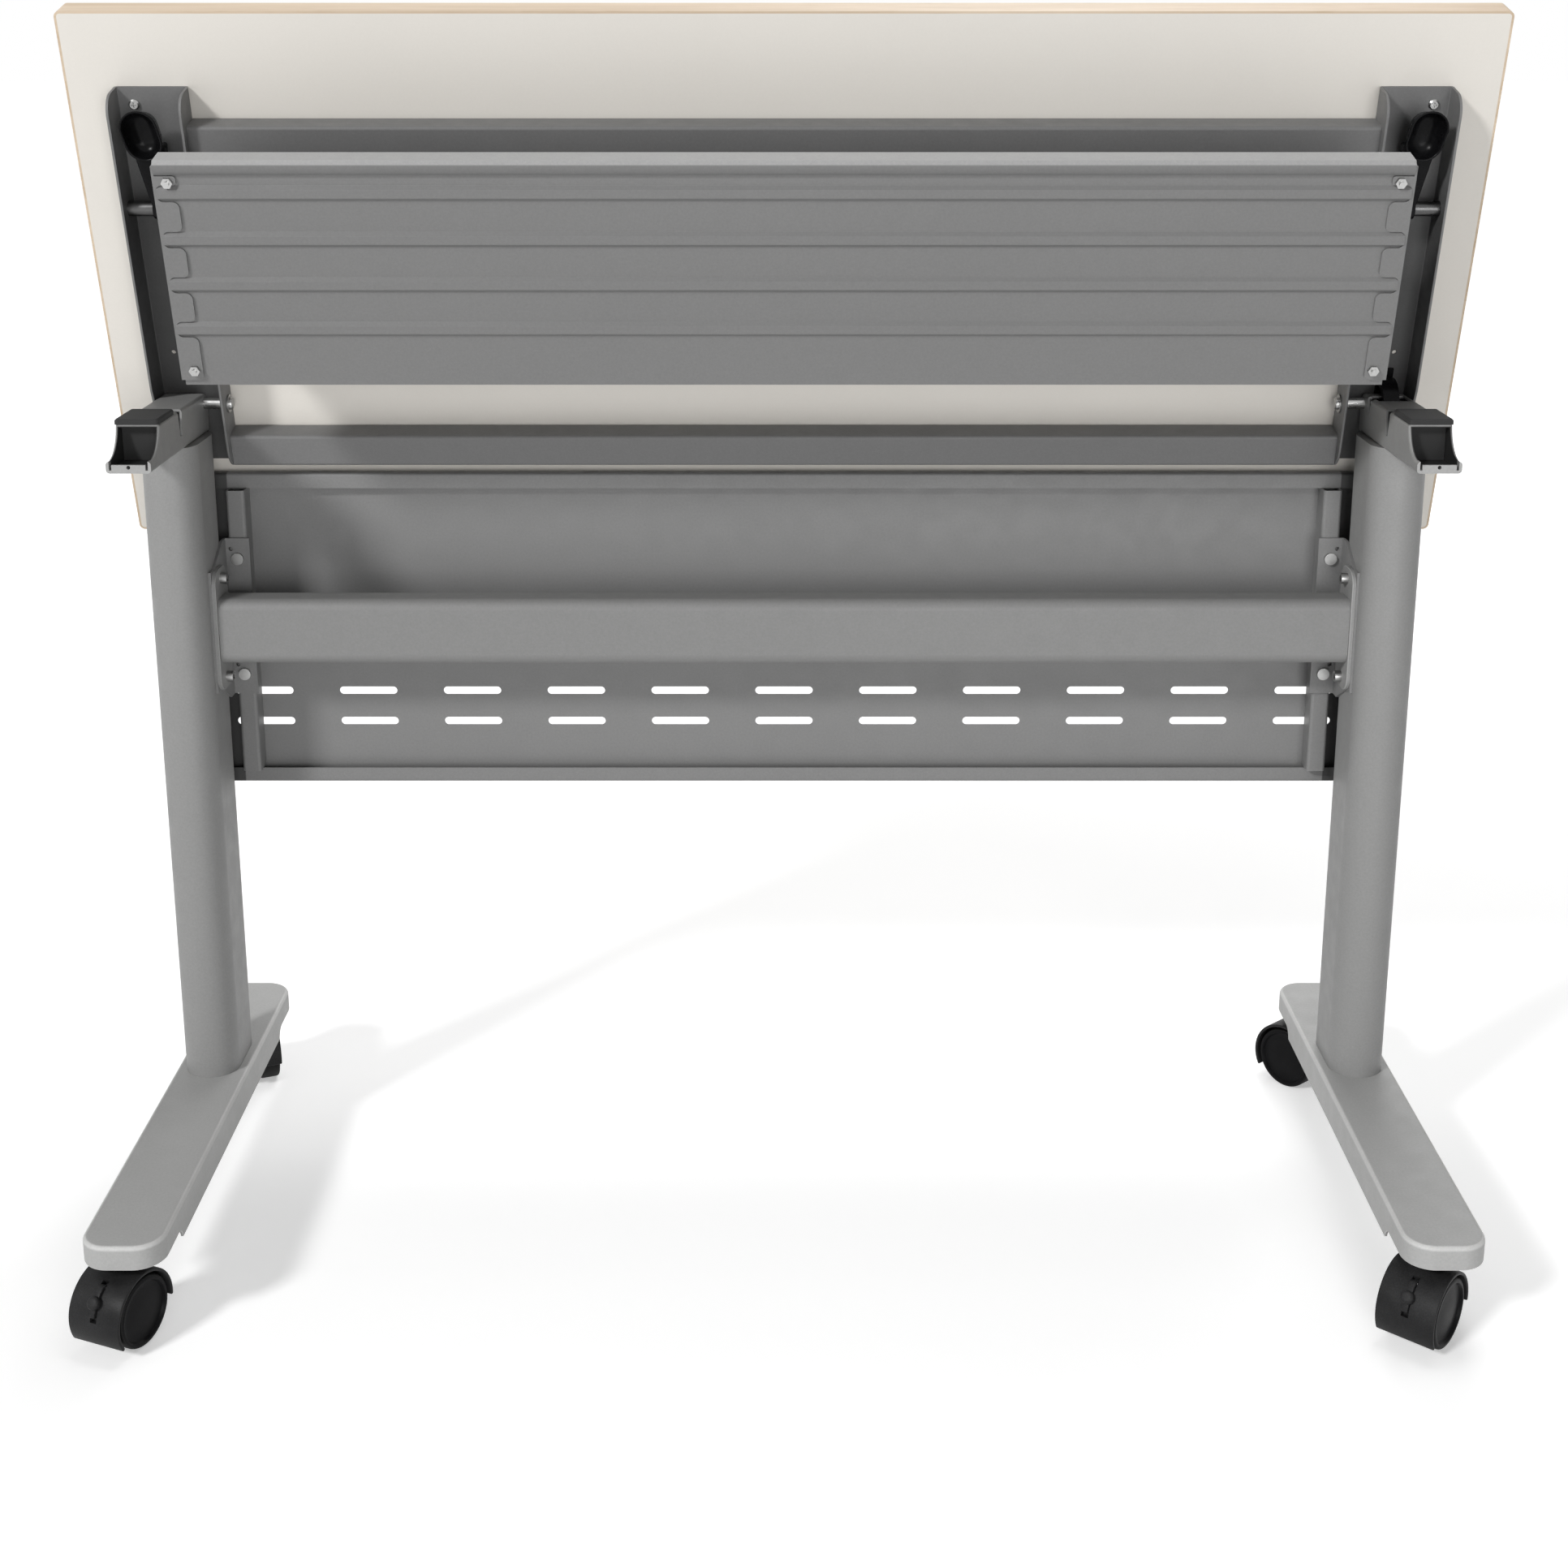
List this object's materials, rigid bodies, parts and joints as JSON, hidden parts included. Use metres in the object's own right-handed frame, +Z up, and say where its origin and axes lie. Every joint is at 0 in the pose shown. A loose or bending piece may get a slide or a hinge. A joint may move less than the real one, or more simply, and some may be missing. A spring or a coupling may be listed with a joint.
{
  "type": "folding_desk",
  "caption": "Flip-top folding desk on casters: pale board with book shelf on turning arms, oval steel columns, pressed feet, cross beam and a slotted modesty panel.",
  "frame": {"origin": "on the floor under the middle of the feet", "axes": "+X along the desk to the right of its user, +Y away from the user, +Z up"},
  "size_m": [1.2, 0.5292, 1.0671],
  "materials": {
    "board": "melamine board, pale warm grey below and light wood above",
    "edging": "light maple edging",
    "arm_grey": "satin grey powder coat",
    "shelf_grey": "satin grey powder coat",
    "panel_grey": "satin grey powder coat",
    "frame_grey": "silver grey powder coat",
    "zinc_steel": "zinc plated",
    "lever_black": "glossy black moulding",
    "pad_rubber": "black rubber",
    "caster_black": "satin black nylon",
    "wheel_rubber": "black nylon wheel"
  },
  "bodies": {
    "frame": {"beam_bolts": "zinc_steel", "caster_sockets": "zinc_steel", "caster_stems": "zinc_steel", "cross_beam": "frame_grey", "left_column": "frame_grey", "left_end_plate": "frame_grey", "left_foot": "frame_grey", "left_head": "frame_grey", "left_pad": "pad_rubber", "left_panel_bracket": "panel_grey", "left_pivot_shaft": "zinc_steel", "left_stiffener": "panel_grey", "modesty_panel": "panel_grey", "panel_bolts": "zinc_steel", "right_column": "frame_grey", "right_end_plate": "frame_grey", "right_foot": "frame_grey", "right_head": "frame_grey", "right_pad": "pad_rubber", "right_panel_bracket": "panel_grey", "right_pivot_shaft": "zinc_steel", "right_stiffener": "panel_grey"},
    "top": {"arm_screws": "zinc_steel", "book_shelf": "shelf_grey", "edge_band": "edging", "front_rail": "arm_grey", "left_arm": "arm_grey", "left_latch_pin": "zinc_steel", "left_shelf_plate": "shelf_grey", "rear_rail": "arm_grey", "right_arm": "arm_grey", "right_latch_pin": "zinc_steel", "right_shelf_plate": "shelf_grey", "shelf_bolts": "zinc_steel", "tabletop": "board", "upright_stay": "lever_black"},
    "left_lever": {"left_latch_tooth": "zinc_steel", "left_release_lever": "lever_black"},
    "right_lever": {"right_latch_tooth": "zinc_steel", "right_release_lever": "lever_black"},
    "front_left_swivel": {"front_left_axle": "zinc_steel", "front_left_brake_pin": "zinc_steel", "front_left_hood": "caster_black"},
    "front_left_brake": {"front_left_brake_pedal": "caster_black"},
    "front_left_wheel_a": {"front_left_wheel_a": "wheel_rubber"},
    "front_left_wheel_b": {"front_left_wheel_b": "wheel_rubber"},
    "front_right_swivel": {"front_right_axle": "zinc_steel", "front_right_brake_pin": "zinc_steel", "front_right_hood": "caster_black"},
    "front_right_brake": {"front_right_brake_pedal": "caster_black"},
    "front_right_wheel_a": {"front_right_wheel_a": "wheel_rubber"},
    "front_right_wheel_b": {"front_right_wheel_b": "wheel_rubber"},
    "rear_left_swivel": {"rear_left_axle": "zinc_steel", "rear_left_hood": "caster_black"},
    "rear_left_wheel_a": {"rear_left_wheel_a": "wheel_rubber"},
    "rear_left_wheel_b": {"rear_left_wheel_b": "wheel_rubber"},
    "rear_right_swivel": {"rear_right_axle": "zinc_steel", "rear_right_hood": "caster_black"},
    "rear_right_wheel_a": {"rear_right_wheel_a": "wheel_rubber"},
    "rear_right_wheel_b": {"rear_right_wheel_b": "wheel_rubber"}
  },
  "joints": [
    {"name": "top_flip", "type": "hinge", "parent": "frame", "child": "top", "pos_m": [0, 0.114, 0.72], "axis": [1, 0, 0], "range_deg": [0, 74.6]},
    {"name": "left_lever_pull", "type": "hinge", "parent": "top", "child": "left_lever", "pos_m": [-0.53, 0.06198, 0.89756], "axis": [1, 0, 0], "range_deg": [0, 7.5], "stiffness_Nm_per_rad": 1.5, "springref_deg": -11.46},
    {"name": "right_lever_pull", "type": "hinge", "parent": "top", "child": "right_lever", "pos_m": [0.53, 0.06198, 0.89756], "axis": [1, 0, 0], "range_deg": [0, 7.5], "stiffness_Nm_per_rad": 1.5, "springref_deg": -11.46},
    {"name": "front_left_swivel", "type": "hinge", "parent": "frame", "child": "front_left_swivel", "pos_m": [-0.537, -0.205, 0.065], "axis": [0, 0, 1], "continuous": true},
    {"name": "front_left_wheel_a_spin", "type": "hinge", "parent": "front_left_swivel", "child": "front_left_wheel_a", "pos_m": [-0.54412, -0.22262, 0.03], "axis": [-0.9272, 0.3746, 0], "continuous": true},
    {"name": "front_left_wheel_b_spin", "type": "hinge", "parent": "front_left_swivel", "child": "front_left_wheel_b", "pos_m": [-0.54412, -0.22262, 0.03], "axis": [-0.9272, 0.3746, 0], "continuous": true},
    {"name": "front_left_brake", "type": "hinge", "parent": "front_left_swivel", "child": "front_left_brake", "pos_m": [-0.5512, -0.24014, 0.05802], "axis": [0.9272, -0.3746, 0], "range_deg": [0, 5]},
    {"name": "front_right_swivel", "type": "hinge", "parent": "frame", "child": "front_right_swivel", "pos_m": [0.537, -0.205, 0.065], "axis": [0, 0, 1], "continuous": true},
    {"name": "front_right_wheel_a_spin", "type": "hinge", "parent": "front_right_swivel", "child": "front_right_wheel_a", "pos_m": [0.52479, -0.21956, 0.03], "axis": [-0.766, 0.6428, 0], "continuous": true},
    {"name": "front_right_wheel_b_spin", "type": "hinge", "parent": "front_right_swivel", "child": "front_right_wheel_b", "pos_m": [0.52479, -0.21956, 0.03], "axis": [-0.766, 0.6428, 0], "continuous": true},
    {"name": "front_right_brake", "type": "hinge", "parent": "front_right_swivel", "child": "front_right_brake", "pos_m": [0.51264, -0.23403, 0.05802], "axis": [0.766, -0.6428, 0], "range_deg": [0, 5]},
    {"name": "rear_left_swivel", "type": "hinge", "parent": "frame", "child": "rear_left_swivel", "pos_m": [-0.537, 0.205, 0.065], "axis": [0, 0, 1], "continuous": true},
    {"name": "rear_left_wheel_a_spin", "type": "hinge", "parent": "rear_left_swivel", "child": "rear_left_wheel_a", "pos_m": [-0.54412, 0.22262, 0.03], "axis": [0.9272, 0.3746, 0], "continuous": true},
    {"name": "rear_left_wheel_b_spin", "type": "hinge", "parent": "rear_left_swivel", "child": "rear_left_wheel_b", "pos_m": [-0.54412, 0.22262, 0.03], "axis": [0.9272, 0.3746, 0], "continuous": true},
    {"name": "rear_right_swivel", "type": "hinge", "parent": "frame", "child": "rear_right_swivel", "pos_m": [0.537, 0.205, 0.065], "axis": [0, 0, 1], "continuous": true},
    {"name": "rear_right_wheel_a_spin", "type": "hinge", "parent": "rear_right_swivel", "child": "rear_right_wheel_a", "pos_m": [0.52479, 0.21956, 0.03], "axis": [0.766, 0.6428, 0], "continuous": true},
    {"name": "rear_right_wheel_b_spin", "type": "hinge", "parent": "rear_right_swivel", "child": "rear_right_wheel_b", "pos_m": [0.52479, 0.21956, 0.03], "axis": [0.766, 0.6428, 0], "continuous": true}
  ]
}
